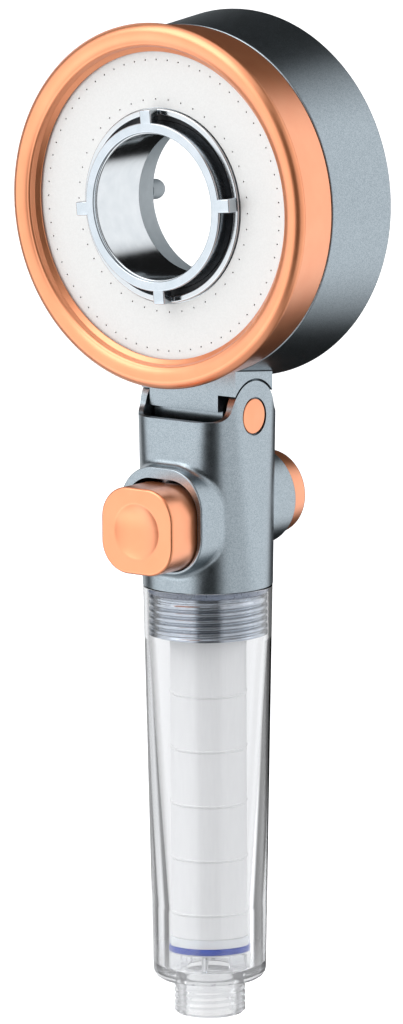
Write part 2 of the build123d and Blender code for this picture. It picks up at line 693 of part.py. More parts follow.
with BuildPart() as spray_plate:
    with BuildSketch(Plane.XZ.offset(PLATE_Y)):
        with Locations((0, HEAD_Z)):
            Circle(PLATE_R)
            Circle(PLATE_HOLE_R, mode=Mode.SUBTRACT)
            with PolarLocations(INNER_JETS_R, INNER_JETS):
                Circle(JET_R, mode=Mode.SUBTRACT)
            with PolarLocations(OUTER_JETS_R, OUTER_JETS):
                Circle(JET_R, mode=Mode.SUBTRACT)
    extrude(amount=-PLATE_THICKNESS)
spray_plate.part.label = "spray_plate"
export_step(spray_plate.part, "parts/spray_plate.step")

RIM_Y = -21.2
RIM_IN_R = 26.2
RIM_OUT_R = 28.0
MANIFOLD_Y = -18.7

with BuildPart() as rim_ring:
    turn(
        [
            (RIM_Y, RIM_IN_R + 0.2),
            (RIM_Y, RIM_OUT_R - 0.3),
            (RIM_Y + 0.3, RIM_OUT_R),
            (-PLATE_Y + PLATE_THICKNESS + 0.05, RIM_OUT_R),
            (-PLATE_Y + PLATE_THICKNESS + 0.05, RIM_OUT_R + 0.9),
            (MANIFOLD_Y - 0.05, RIM_OUT_R + 0.9),
            (MANIFOLD_Y - 0.05, RIM_IN_R),
            (RIM_Y + 0.2, RIM_IN_R),
        ],
        HEAD_SECTION,
        HEAD_AXIS,
    )
rim_ring.part.label = "rim_ring"
export_step(rim_ring.part, "parts/rim_ring.step")

# ==== head: waterways ===================================================================
INNER_CHANNEL = (30.0, 33.0)  # inner and outer radius
OUTER_CHANNEL = (39.6, 44.0)
CHANNEL_DEPTH = 4.0
MANIFOLD_BACK_Y = -13.0
MANIFOLD_R = 46.0
INNER_PORT_R = 31.5
OUTER_PORT_R = 41.8
PORTS = 6
GASKET_BRIDGE = 1.0

with BuildPart() as plate_gasket:
    gasket_y = -MANIFOLD_Y + 0.05
    with BuildSketch(Plane.XZ.offset(gasket_y)):
        with Locations((0, HEAD_Z)):
            # a rim, a ring between the channels and a rim inside them
            Circle(MANIFOLD_R)
            Circle(OUTER_CHANNEL[1], mode=Mode.SUBTRACT)
            Circle(OUTER_CHANNEL[0])
            Circle(INNER_CHANNEL[1], mode=Mode.SUBTRACT)
            Circle(INNER_CHANNEL[0])
            Circle(INNER_CHANNEL[0] - GASKET_BRIDGE, mode=Mode.SUBTRACT)
            # narrow bridges hold the three together
            with PolarLocations((INNER_CHANNEL[0] + OUTER_CHANNEL[1]) / 2, PORTS, start_angle=30):
                Rectangle(OUTER_CHANNEL[1] - INNER_CHANNEL[0] + 0.4, GASKET_BRIDGE)
    extrude(amount=PLATE_Y - PLATE_THICKNESS - gasket_y - 0.05)
plate_gasket.part.label = "plate_gasket"
export_step(plate_gasket.part, "parts/plate_gasket.step")

with BuildPart() as jet_manifold:
    turn(
        tube(MANIFOLD_Y, MANIFOLD_BACK_Y, RIM_IN_R + 0.1, MANIFOLD_R), HEAD_SECTION, HEAD_AXIS
    )
    for inside, outside in (INNER_CHANNEL, OUTER_CHANNEL):
        turn(
            tube(MANIFOLD_Y, MANIFOLD_Y + CHANNEL_DEPTH, inside, outside),
            HEAD_SECTION,
            HEAD_AXIS,
            mode=Mode.SUBTRACT,
        )
    with BuildSketch(Plane.XZ.offset(-MANIFOLD_Y)):
        with Locations((0, HEAD_Z)):
            with PolarLocations(INNER_PORT_R, PORTS):
                Circle(1.3)
            with PolarLocations(OUTER_PORT_R, PORTS):
                Circle(1.8)
    extrude(amount=MANIFOLD_Y - MANIFOLD_BACK_Y, mode=Mode.SUBTRACT)
jet_manifold.part.label = "jet_manifold"
export_step(jet_manifold.part, "parts/jet_manifold.step")

CHAMBER_R = 44.6
CHAMBER_BACK_Y = -0.4
CHAMBER_FLOOR_Y = -3.4
CHAMBER_HUB_R = 26.1
REAR_SEAL_R = 27.1
SPOUT_TOP_Z = HEAD_Z - 41.2

with BuildPart() as water_chamber:
    turn(
        [
            (MANIFOLD_BACK_Y + 0.05, CHAMBER_R),
            (CHAMBER_FLOOR_Y, CHAMBER_R),
            (CHAMBER_FLOOR_Y, CHAMBER_HUB_R),
            (-2.7, CHAMBER_HUB_R),
            (-2.7, REAR_SEAL_R),
            (-1.1, REAR_SEAL_R),
            (-1.1, CHAMBER_HUB_R),
            (CHAMBER_BACK_Y, CHAMBER_HUB_R),
            (CHAMBER_BACK_Y, MANIFOLD_R),
            (MANIFOLD_BACK_Y + 0.05, MANIFOLD_R),
        ],
        HEAD_SECTION,
        HEAD_AXIS,
    )
    # spout down through the shell into the neck
    spout_foot_z = HEAD_Z - 50.6
    with Locations((0, SPOUT_Y, spout_foot_z)):
        Cylinder(
            SPOUT_R, SPOUT_TOP_Z - spout_foot_z, align=(Align.CENTER, Align.CENTER, Align.MIN)
        )
        Cylinder(
            SPOUT_R - 1.2,
            SPOUT_TOP_Z - spout_foot_z - 1.2,
            align=(Align.CENTER, Align.CENTER, Align.MIN),
            mode=Mode.SUBTRACT,
        )
    with Locations(Location((0, SPOUT_Y - 3, SPOUT_TOP_Z - 2.0), (90, 0, 0))):
        Cylinder(1.3, 6, mode=Mode.SUBTRACT)
water_chamber.part.label = "water_chamber"
export_step(water_chamber.part, "parts/water_chamber.step")

with BuildPart() as front_seal:
    turn(tube(MANIFOLD_Y, MANIFOLD_Y + 1.4, 24.38, RIM_IN_R + 0.05), HEAD_SECTION, HEAD_AXIS)
front_seal.part.label = "front_seal"
export_step(front_seal.part, "parts/front_seal.step")

with BuildPart() as rear_seal:
    turn(tube(-2.6, -1.2, 25.88, REAR_SEAL_R - 0.05), HEAD_SECTION, HEAD_AXIS)
rear_seal.part.label = "rear_seal"
export_step(rear_seal.part, "parts/rear_seal.step")

# ==== head: neck that turns on the axle ====================================================
NECK_HALF_Y = 8.8
SADDLE_HALF_X = 17.2
SKIRT_LEFT_X = -14.2
SKIRT_RIGHT_X = 10.8
SKIRT_FOOT_Z = 180.6
KNUCKLE_R = 6.6
EAR_CLEARANCE_R = 11.0
AXLE_SEAL_PLACES = (-11.5, 8.0)

with BuildPart() as neck_block:
    with Locations((0, 0, SKIRT_FOOT_Z)):
        Box(
            2 * SADDLE_HALF_X,
            2 * NECK_HALF_Y,
            14,
            align=(Align.CENTER, Align.CENTER, Align.MIN),
        )
    # the saddle arches over both ears, clear of the skirt between them
    for inner_x, outer_x in ((SKIRT_LEFT_X, -SEAM_R), (SKIRT_RIGHT_X, SEAM_R)):
        turn(
            rod(inner_x, outer_x, EAR_CLEARANCE_R), PIVOT_SECTION, PIVOT_AXIS, mode=Mode.SUBTRACT
        )
    turn(rod(SKIRT_LEFT_X, SKIRT_RIGHT_X, KNUCKLE_R), PIVOT_SECTION, PIVOT_AXIS)
    # the top seats against the flared shell
    turn(
        [
            (SHELL_FRONT_Y - 6, 20),
            (SHELL_REAR_Y, 20),
            (SHELL_REAR_Y, SHELL_REAR_R + 0.2),
            (SHELL_FRONT_Y - 6, SHELL_FRONT_R - 0.4),
        ],
        HEAD_SECTION,
        HEAD_AXIS,
        mode=Mode.SUBTRACT,
    )
    # axle bore, two seal grooves, waterway and screw holes
    turn(
        rod(-20, 20, AXLE_R + RUNNING_GAP), PIVOT_SECTION, PIVOT_AXIS, mode=Mode.SUBTRACT
    )
    for place in AXLE_SEAL_PLACES:
        turn(
            rod(place - 0.85, place + 0.85, 5.4), PIVOT_SECTION, PIVOT_AXIS, mode=Mode.SUBTRACT
        )
    with Locations((0, SPOUT_Y, PIVOT_Z)):
        Cylinder(
            SPOUT_R - 1.2, 20, align=(Align.CENTER, Align.CENTER, Align.MIN), mode=Mode.SUBTRACT
        )
    with Locations(
        (NECK_SCREW_X, NECK_SCREW_Y, 184.2), (-NECK_SCREW_X, NECK_SCREW_Y, 184.2)
    ):
        Cylinder(
            SCREW_R + 0.05, 20, align=(Align.CENTER, Align.CENTER, Align.MIN), mode=Mode.SUBTRACT
        )
neck_block.part.label = "neck_block"
export_step(neck_block.part, "parts/neck_block.step")

NECK_SCREW_HEAD_Z = 193.8

with BuildPart() as neck_screws:
    with Locations(
        (NECK_SCREW_X, NECK_SCREW_Y, NECK_SCREW_HEAD_Z),
        (-NECK_SCREW_X, NECK_SCREW_Y, NECK_SCREW_HEAD_Z),
    ):
        Cylinder(SCREW_R, 8.6, align=(Align.CENTER, Align.CENTER, Align.MAX))
        Cylinder(2.3, 1.5, align=(Align.CENTER, Align.CENTER, Align.MIN))
neck_screws.part.label = "neck_screws"
export_step(neck_screws.part, "parts/neck_screws.step")

with BuildPart() as axle_seals:
    for place in AXLE_SEAL_PLACES:
        turn(tube(place - 0.75, place + 0.75, AXLE_R + 0.05, 5.35), PIVOT_SECTION, PIVOT_AXIS)
axle_seals.part.label = "axle_seals"
export_step(axle_seals.part, "parts/axle_seals.step")

# ==== selector: the sleeve that turns in the middle of the head =============================
LUG_RING_R = 24.3
LUG_TIP_R = 28.0
LUG_WIDTH = 4.0
LUG_BACK_Y = 21.6
LUGS = 4
LUG_ANGLE = 5  # the first lug stands this far above the +X side
LINER_R = 22.6
RING_OUT_R = 25.8
FLANGE_R = 29.0
FLANGE_Y = 3.4
REAR_RING_Y = 4.6
SELECT_ANGLE = 30

with BuildPart() as lug_ring:
    turn(
        [
            (-FACE_Y, BORE_R + 0.7),
            (-FACE_Y, LUG_RING_R - 0.3),
            (-FACE_Y + 0.3, LUG_RING_R),
            (-17.2, LUG_RING_R),
            (-17.2, SLEEVE_R),
            (-FACE_Y + 0.9, SLEEVE_R),
            (-FACE_Y + 0.9, BORE_R + 0.4),
            (-FACE_Y + 0.3, BORE_R + 0.4),
        ],
        HEAD_SECTION,
        HEAD_AXIS,
    )
    # finger lugs reach out over the rim
    with BuildSketch(Plane.XZ.offset(FACE_Y)):
        with Locations((0, HEAD_Z)):
            with PolarLocations((LUG_RING_R - 0.8 + LUG_TIP_R) / 2, LUGS, start_angle=LUG_ANGLE):
                RectangleRounded(LUG_TIP_R - LUG_RING_R + 0.8, LUG_WIDTH, 0.4)
    extrude(amount=-(FACE_Y - LUG_BACK_Y))
lug_ring.part.label = "lug_ring"
export_step(lug_ring.part, "parts/lug_ring.step")

with BuildPart() as bore_liner:
    turn(tube(-FACE_Y + 1, -4.5, BORE_R, LINER_R), HEAD_SECTION, HEAD_AXIS)
bore_liner.part.label = "bore_liner"
export_step(bore_liner.part, "parts/bore_liner.step")

with BuildPart() as selector_sleeve:
    turn(tube(-17.1, -4.5, SLEEVE_R, 24.1), HEAD_SECTION, HEAD_AXIS)
selector_sleeve.part.label = "selector_sleeve"
export_step(selector_sleeve.part, "parts/selector_sleeve.step")

DISC_FRONT_Y = 12.7
DISC_BACK_Y = 10.7

with BuildPart() as diverter_disc:
    with BuildSketch(Plane.XZ.offset(DISC_FRONT_Y)):
        with Locations((0, HEAD_Z)):
            Circle(CHAMBER_R - 0.5)
            Circle(24.15, mode=Mode.SUBTRACT)
            # each window runs from the port at rest to the port one click away
            for step in range(4):
                opened = step * SELECT_ANGLE / 3
                with PolarLocations(INNER_PORT_R, PORTS, start_angle=opened):
                    Circle(1.9, mode=Mode.SUBTRACT)
                with PolarLocations(OUTER_PORT_R, PORTS, start_angle=-opened):
                    Circle(2.0, mode=Mode.SUBTRACT)
    extrude(amount=-(DISC_FRONT_Y - DISC_BACK_Y))
diverter_disc.part.label = "diverter_disc"
export_step(diverter_disc.part, "parts/diverter_disc.step")

with BuildPart() as selector_ring:
    turn(
        [
            (-4.4, BORE_R + 0.3),
            (REAR_RING_Y - 0.6, 22.6),
            (REAR_RING_Y, 23.2),
            (REAR_RING_Y, FLANGE_R - 0.4),
            (REAR_RING_Y - 0.4, FLANGE_R),
            (FLANGE_Y, FLANGE_R),
            (FLANGE_Y, RING_OUT_R),
            (-4.4, RING_OUT_R),
        ],
        HEAD_SECTION,
        HEAD_AXIS,
    )
selector_ring.part.label = "selector_ring"
export_step(selector_ring.part, "parts/selector_ring.step")

STUD_R = 3.0
STUD_PLACE_R = 25.9
STUD_DOME_Y = 9.1

with BuildPart() as thumb_stud:
    with BuildSketch(
        Plane(origin=(-STUD_PLACE_R, 0, HEAD_Z), x_dir=(0, 1, 0), z_dir=(1, 0, 0))
    ):
        with BuildLine():
            Polyline(
                (STUD_DOME_Y + STUD_R, 0),
                (REAR_RING_Y + 0.02, 0),
                (REAR_RING_Y + 0.02, STUD_R),
                (STUD_DOME_Y, STUD_R),
            )
            RadiusArc((STUD_DOME_Y, STUD_R), (STUD_DOME_Y + STUD_R, 0), STUD_R)
        make_face()
    revolve(axis=Axis((-STUD_PLACE_R, 0, HEAD_Z), (0, 1, 0)))
thumb_stud.part.label = "thumb_stud"
export_step(thumb_stud.part, "parts/thumb_stud.step")
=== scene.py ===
"""The looks of a handheld ring shower head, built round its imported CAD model."""

import json
from math import cos, hypot, pi, radians, sin, sqrt, tan

import bmesh
import bpy
from mathutils import Matrix, Quaternion, Vector


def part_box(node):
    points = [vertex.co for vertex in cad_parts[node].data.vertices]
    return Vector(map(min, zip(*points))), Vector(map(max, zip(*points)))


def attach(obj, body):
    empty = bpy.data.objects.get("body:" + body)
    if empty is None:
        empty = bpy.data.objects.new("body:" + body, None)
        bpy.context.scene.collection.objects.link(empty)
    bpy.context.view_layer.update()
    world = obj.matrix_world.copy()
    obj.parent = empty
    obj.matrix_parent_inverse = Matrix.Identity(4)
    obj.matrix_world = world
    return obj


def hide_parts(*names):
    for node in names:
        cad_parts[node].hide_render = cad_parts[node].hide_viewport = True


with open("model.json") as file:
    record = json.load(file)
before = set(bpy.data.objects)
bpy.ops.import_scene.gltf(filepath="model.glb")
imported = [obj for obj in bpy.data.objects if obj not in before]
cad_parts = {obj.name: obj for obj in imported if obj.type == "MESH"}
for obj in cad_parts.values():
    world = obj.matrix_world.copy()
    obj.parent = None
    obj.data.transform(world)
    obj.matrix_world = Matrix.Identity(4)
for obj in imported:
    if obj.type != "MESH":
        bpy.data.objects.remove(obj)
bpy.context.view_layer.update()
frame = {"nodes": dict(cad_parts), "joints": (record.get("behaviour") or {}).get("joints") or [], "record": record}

MM = 0.001  # outlines are in millimetres, objects in metres
SEGMENTS = 192  # round a large turned piece
SMALL_SEGMENTS = 96
CORNER_STEPS = 4
ROUNDING_SHARE = 0.48  # of a side, the most that a rounding takes
GUARD_SHARE = 0.02  # of a side, out to a point that keeps it flat beside a rounding
ON_AXIS = 1e-6  # a radius below this is a point on the axis
SHARP = radians(40)

JOINTS = {joint["name"]: joint for joint in frame["joints"]}
HEAD_Z = JOINTS["selector_turn"]["pos_m"][2] / MM
PIVOT_Z = JOINTS["head_tilt"]["pos_m"][2] / MM


def span(node, axis):
    """A CAD node's two ends along X, Y or Z, in millimetres."""
    low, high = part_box(node)
    along = "XYZ".index(axis)
    return low[along] / MM, high[along] / MM


def radius_of(node, axis):
    """The outer radius of a CAD node turned about an axis, in millimetres."""
    low, high = span(node, "YZX"["XYZ".index(axis)])
    return (high - low) / 2


VALVE_Z = sum(span("stop_button", "Z")) / 2
REAR_CAP_Z = sum(span("rear_cap", "Z")) / 2


# ---- outlines --------------------------------------------------------------------------
def bow(start, end, bulge, steps):
    """Points of a shallow curve from start to end, standing bulge to the left of the chord."""
    (a, b), (c, d) = start, end
    length = hypot(c - a, d - b)
    control = (
        (a + c) / 2 - 2 * bulge * (d - b) / length,
        (b + d) / 2 + 2 * bulge * (c - a) / length,
    )
    points = []
    for step in range(steps + 1):
        t = step / steps
        weights = ((1 - t) ** 2, 2 * t * (1 - t), t * t)
        points.append(
            tuple(
                sum(w * p for w, p in zip(weights, values))
                for values in zip(start, control, end)
            )
        )
    return points


def soften(corners):
    """A closed outline with its corners rounded.

    A corner is (along, radius) where it stays sharp, or (along, radius, rounding).
    """
    points = []
    for index, corner in enumerate(corners):
        here = Vector(corner[:2])
        rounding = corner[2] if len(corner) > 2 else 0
        if not rounding:
            points.append(tuple(here))
            continue
        back = Vector(corners[index - 1][:2]) - here
        ahead = Vector(corners[(index + 1) % len(corners)][:2]) - here
        turn = pi - back.angle(ahead)
        shorter = min(back.length, ahead.length)
        reach = min(rounding * tan(turn / 2), ROUNDING_SHARE * shorter)
        guard = min(0.4 * reach, GUARD_SHARE * shorter)
        back.normalize()
        ahead.normalize()
        start, end = here + back * reach, here + ahead * reach
        points.append(tuple(start + back * guard))
        points += arc(start, here, end, turn)
        points.append(tuple(end + ahead * guard))
    return points


def arc(start, corner, end, turn):
    """Points along the circle's arc that rounds a corner of this turn, as a conic."""
    weight = cos(turn / 2)
    points = []
    for step in range(CORNER_STEPS + 1):
        t = step / CORNER_STEPS
        a, b, c = (1 - t) ** 2, 2 * t * (1 - t) * weight, t * t
        points.append(tuple((start * a + corner * b + end * c) / (a + b + c)))
    return points


def square_reach(angle, half_wide, half_tall, corner):
    """How far a rounded rectangle's edge is from its centre, in the direction of angle."""
    x, z = abs(cos(angle)), abs(sin(angle))
    if half_wide * z <= (half_tall - corner) * x:
        return half_wide / x
    if half_tall * x <= (half_wide - corner) * z:
        return half_tall / z
    centre_x, centre_z = half_wide - corner, half_tall - corner
    along = x * centre_x + z * centre_z
    return along + sqrt(along**2 - centre_x**2 - centre_z**2 + corner**2)


def fine_wall(first, last, radius, rows):
    """Points up a straight wall, close enough together to be wound into a thread."""
    return [(first + (last - first) * row / rows, radius) for row in range(rows + 1)]


def thread(first, last, pitch, depth, least_radius, narrow=1):
    """A winding for lathe(): a groove that fades out at both ends.

    A higher narrow leaves more of the pitch at full radius.
    """

    def wind(along, radius, angle):
        if radius < least_radius or not first <= along <= last:
            return radius
        turn = (along / pitch - angle / (2 * pi)) % 1
        fade = min(1, (along - first) / pitch, (last - along) / pitch)
        trough = (0.5 - 0.5 * cos(2 * pi * turn)) ** narrow
        return radius - depth * trough * fade

    return wind


# ---- meshes ----------------------------------------------------------------------------
def object_of(name, shape):
    """A smooth-shaded object from a bmesh, with its sharp edges kept."""
    mesh = bpy.data.meshes.new(name)
    shape.to_mesh(mesh)
    shape.free()
    mesh.shade_smooth()
    mesh.set_sharp_from_angle(angle=SHARP)
    piece = bpy.data.objects.new(name, mesh)
    bpy.context.scene.collection.objects.link(piece)
    return piece


def piece_of(name, points, faces):
    """An object from points in millimetres and faces of their numbers."""
    shape = bmesh.new()
    corners = [shape.verts.new(Vector(point) * MM) for point in points]
    for face in faces:
        shape.faces.new([corners[index] for index in face])
    bmesh.ops.recalc_face_normals(shape, faces=shape.faces)
    return object_of(name, shape)


def bridge(loops, closed):
    """Faces between loops of points; a loop of one point is a tip."""
    starts, count = [], 0
    for loop in loops:
        starts.append(count)
        count += len(loop)
    faces = []
    pairs = list(range(len(loops) - 1)) + ([len(loops) - 1] if closed else [])
    for index in pairs:
        following = (index + 1) % len(loops)
        here, there = len(loops[index]), len(loops[following])
        for side in range(max(here, there)):
            nearer = (side + 1) % max(here, there)
            quad = [
                starts[index] + side % here,
                starts[index] + nearer % here,
                starts[following] + nearer % there,
                starts[following] + side % there,
            ]
            corners = list(dict.fromkeys(quad))
            if len(corners) > 2:
                faces.append(corners)
    return [point for loop in loops for point in loop], faces


AXIS_POINT = {
    "X": lambda along, across, up: (along, across, up),
    "Y": lambda along, across, up: (across, along, up),
    "Z": lambda along, across, up: (across, up, along),
}


def lathe(name, outline, axis, centre=(0, 0, 0), segments=SEGMENTS, wind=None):
    """Turn an outline of (along, radius) points about an axis through centre.

    An outline that starts and ends on the axis makes a solid; any other is closed on itself.
    wind(along, radius, angle) may change a radius, for a thread.
    """
    loops = []
    for along, radius in outline:
        if radius < ON_AXIS:
            ring = [(along, 0, 0)]
        else:
            ring = []
            for side in range(segments):
                angle = 2 * pi * side / segments
                reach = wind(along, radius, angle) if wind else radius
                ring.append((along, reach * cos(angle), reach * sin(angle)))
        loops.append([Vector(AXIS_POINT[axis](*point)) + Vector(centre) for point in ring])
    solid = outline[0][1] < ON_AXIS
    return piece_of(name, *bridge(loops, closed=not solid))


def rounded_box(name, middle, size, rounding):
    """A block with rounded edges; middle, size and rounding in millimetres."""
    shape = bmesh.new()
    bmesh.ops.create_cube(shape, size=1)
    bmesh.ops.scale(shape, vec=Vector(size) * MM, verts=shape.verts)
    bmesh.ops.bevel(
        shape,
        geom=shape.edges[:],
        offset=rounding * MM,
        segments=3,
        profile=0.5,
        affect="EDGES",
    )
    bmesh.ops.translate(shape, vec=Vector(middle) * MM, verts=shape.verts)
    return object_of(name, shape)


# ---- materials -------------------------------------------------------------------------
TEXTURE_LOW, TEXTURE_HIGH = 0.3, 0.7  # where most of a texture's values lie


class Finish:
    """A Principled material with the few texture nodes that these materials share."""

    def __init__(self, name, **values):
        self.material = bpy.data.materials.new(name)
        self.material.use_nodes = True
        self.tree = self.material.node_tree
        self.shader = self.tree.nodes["Principled BSDF"]
        self.output = self.tree.nodes["Material Output"]
        for socket, value in values.items():
            self.shader.inputs[socket.replace("_", " ")].default_value = value
        self.places = self.tree.nodes.new("ShaderNodeTexCoord").outputs["Object"]

    def link(self, source, socket):
        self.tree.links.new(source, self.shader.inputs[socket])

    def stretched(self, scale):
        """Object coordinates, stretched so that a pattern runs long along one axis."""
        mapping = self.tree.nodes.new("ShaderNodeMapping")
        mapping.inputs["Scale"].default_value = scale
        self.tree.links.new(self.places, mapping.inputs["Vector"])
        return mapping.outputs["Vector"]

    def noise(self, size, detail=3, places=None):
        """Noise whose features are about size millimetres across."""
        texture = self.tree.nodes.new("ShaderNodeTexNoise")
        texture.inputs["Scale"].default_value = 1 / (size * MM)
        texture.inputs["Detail"].default_value = detail
        self.tree.links.new(places or self.places, texture.inputs["Vector"])
        return texture.outputs["Fac"]

    def cells(self, size):
        """Random grey per cell of about size millimetres, as in metal flake."""
        texture = self.tree.nodes.new("ShaderNodeTexVoronoi")
        texture.inputs["Scale"].default_value = 1 / (size * MM)
        self.tree.links.new(self.places, texture.inputs["Vector"])
        return texture.outputs["Color"]

    def remap(self, source, start, stop, low, high):
        """A value that runs from low to high while the source runs from start to stop."""
        node = self.tree.nodes.new("ShaderNodeMapRange")
        node.inputs["From Min"].default_value = start
        node.inputs["From Max"].default_value = stop
        node.inputs["To Min"].default_value = low
        node.inputs["To Max"].default_value = high
        self.tree.links.new(source, node.inputs["Value"])
        return node.outputs["Result"]

    def colour(self, source, first, second):
        """The base colour runs from first to second with a texture."""
        ramp = self.tree.nodes.new("ShaderNodeValToRGB")
        start, stop = ramp.color_ramp.elements
        start.position, start.color = TEXTURE_LOW, (*first, 1)
        stop.position, stop.color = TEXTURE_HIGH, (*second, 1)
        self.tree.links.new(source, ramp.inputs["Fac"])
        self.link(ramp.outputs["Color"], "Base Color")

    def roughness(self, source, low, high):
        """The roughness runs from low to high with a texture."""
        self.link(self.remap(source, TEXTURE_LOW, TEXTURE_HIGH, low, high), "Roughness")

    def transmission(self, foot, top, low, high):
        """The transmission runs from low at the height foot, in millimetres, to high at top."""
        parts = self.tree.nodes.new("ShaderNodeSeparateXYZ")
        self.tree.links.new(self.places, parts.inputs["Vector"])
        share = self.remap(parts.outputs["Z"], foot * MM, top * MM, low, high)
        self.link(share, "Transmission Weight")

    def relief(self, *layers):
        """Bumps, each a texture and its height in millimetres."""
        normal = None
        for source, height in layers:
            bump = self.tree.nodes.new("ShaderNodeBump")
            bump.inputs["Distance"].default_value = height * MM
            self.tree.links.new(source, bump.inputs["Height"])
            if normal:
                self.tree.links.new(normal, bump.inputs["Normal"])
            normal = bump.outputs["Normal"]
        self.link(normal, "Normal")

    def let_lamps_through(self):
        """Lamps light what is behind this clear surface."""
        nodes, links = self.tree.nodes, self.tree.links
        open_air = nodes.new("ShaderNodeBsdfTransparent")
        path = nodes.new("ShaderNodeLightPath")
        mix = nodes.new("ShaderNodeMixShader")
        links.new(path.outputs["Is Shadow Ray"], mix.inputs["Fac"])
        links.new(self.shader.outputs["BSDF"], mix.inputs[1])
        links.new(open_air.outputs["BSDF"], mix.inputs[2])
        links.new(mix.outputs["Shader"], self.output.inputs["Surface"])


def gunmetal():
    """Blue-grey metallic paint with a fine flake under a satin clear coat."""
    finish = Finish("gunmetal_paint", Metallic=1.0, Coat_Weight=0.15, Coat_Roughness=0.3)
    finish.colour(finish.cells(0.16), (0.26, 0.305, 0.335), (0.375, 0.425, 0.46))
    finish.roughness(finish.noise(1.5), 0.28, 0.33)
    finish.relief((finish.noise(8, 1), 0.004))
    return finish.material


def rose_gold():
    """Peach-copper vacuum metal under a satin lacquer."""
    finish = Finish(
        "rose_gold_lacquer", Metallic=0.8, Coat_Weight=0.6, Coat_Roughness=0.25, Coat_IOR=1.8
    )
    finish.colour(finish.noise(9, 2), (0.90, 0.31, 0.13), (0.92, 0.34, 0.15))
    finish.roughness(finish.noise(3), 0.29, 0.33)
    finish.relief((finish.noise(18, 1), 0.006))
    return finish.material


def chrome():
    """Bright plating with the faint waviness of a moulded base."""
    finish = Finish("bright_chrome", Metallic=1.0)
    finish.colour(finish.noise(5), (0.54, 0.565, 0.585), (0.60, 0.62, 0.635))
    finish.roughness(finish.noise(2), 0.13, 0.17)
    finish.relief((finish.noise(3, 1), 0.004))
    return finish.material


def chrome_plastic():
    """Thicker, softer plating on the finger ring."""
    finish = Finish("plated_plastic", Metallic=1.0)
    finish.colour(finish.noise(4), (0.50, 0.55, 0.59), (0.56, 0.60, 0.64))
    finish.roughness(finish.noise(1.4), 0.15, 0.20)
    finish.relief((finish.noise(2.5, 1), 0.005))
    return finish.material


def plate_steel():
    """Bead-blasted steel plate, nearly white."""
    finish = Finish("blasted_steel", Metallic=0.25)
    finish.colour(finish.noise(0.5, 4), (0.74, 0.735, 0.72), (0.78, 0.775, 0.76))
    finish.roughness(finish.noise(0.8), 0.42, 0.55)
    finish.relief((finish.noise(0.3, 4), 0.004))
    return finish.material


def clear_plastic():
    """Clear moulded plastic, very slightly blue, with flow marks and a milky foot."""
    finish = Finish("clear_polycarbonate", Base_Color=(0.965, 0.97, 0.98, 1), IOR=1.4)
    finish.transmission(10, 24, 0.78, 1.0)
    finish.roughness(finish.noise(4), 0.0, 0.03)
    flow = finish.noise(7, 1, finish.stretched((1, 1, 0.2)))
    finish.relief((flow, 0.012))
    finish.let_lamps_through()
    return finish.material


def clear_seal():
    """Frosted silicone."""
    finish = Finish("clear_silicone", Transmission_Weight=0.3, IOR=1.41)
    finish.colour(finish.noise(2), (0.30, 0.35, 0.46), (0.36, 0.41, 0.52))
    finish.roughness(finish.noise(0.6), 0.25, 0.35)
    finish.relief((finish.noise(0.8), 0.01))
    finish.let_lamps_through()
    return finish.material


def filter_media():
    """Wound white fibre with a soft sheen."""
    finish = Finish("filter_fibre", Sheen_Weight=0.2, Sheen_Roughness=0.4, IOR=1.35)
    strands = finish.noise(0.6, 4, finish.stretched((1, 1, 0.12)))
    finish.colour(strands, (0.90, 0.90, 0.905), (0.94, 0.94, 0.94))
    finish.roughness(finish.noise(1.0), 0.38, 0.5)
    finish.relief((strands, 0.02), (finish.noise(0.25), 0.01))
    return finish.material


def white_plastic():
    """White satin moulding, slightly translucent."""
    finish = Finish("white_polypropylene", Subsurface_Weight=0.1, IOR=1.46)
    finish.colour(finish.noise(3), (0.86, 0.865, 0.87), (0.90, 0.90, 0.905))
    finish.roughness(finish.noise(1.2), 0.36, 0.46)
    finish.relief((finish.noise(0.5), 0.006))
    return finish.material


def grey_plastic():
    """Light grey satin moulding."""
    finish = Finish("light_grey_abs", IOR=1.5)
    finish.colour(finish.noise(2.5), (0.42, 0.47, 0.50), (0.47, 0.52, 0.55))
    finish.roughness(finish.noise(0.9), 0.34, 0.44)
    finish.relief((finish.noise(0.4), 0.005))
    return finish.material


def dark_plastic():
    """Nearly black matt moulding."""
    finish = Finish("dark_glass_filled", IOR=1.5)
    finish.colour(finish.noise(1.5), (0.030, 0.032, 0.036), (0.050, 0.052, 0.056))
    finish.roughness(finish.noise(0.5), 0.42, 0.6)
    finish.relief((finish.noise(0.3), 0.012))
    return finish.material


def rubber(name, first, second):
    """Moulded sealing rubber with a dusty bloom."""
    finish = Finish(name, IOR=1.45)
    finish.colour(finish.noise(1.8), first, second)
    finish.roughness(finish.noise(0.7), 0.42, 0.6)
    finish.relief((finish.noise(0.25), 0.008))
    return finish.material


def turned_metal(name, first, second, low, high):
    """Machined metal with fine tool marks."""
    finish = Finish(name, Metallic=1.0)
    finish.colour(finish.noise(1.6), first, second)
    finish.roughness(finish.noise(0.6), low, high)
    finish.relief((finish.noise(0.6, 1, finish.stretched((1, 1, 4))), 0.002))
    return finish.material


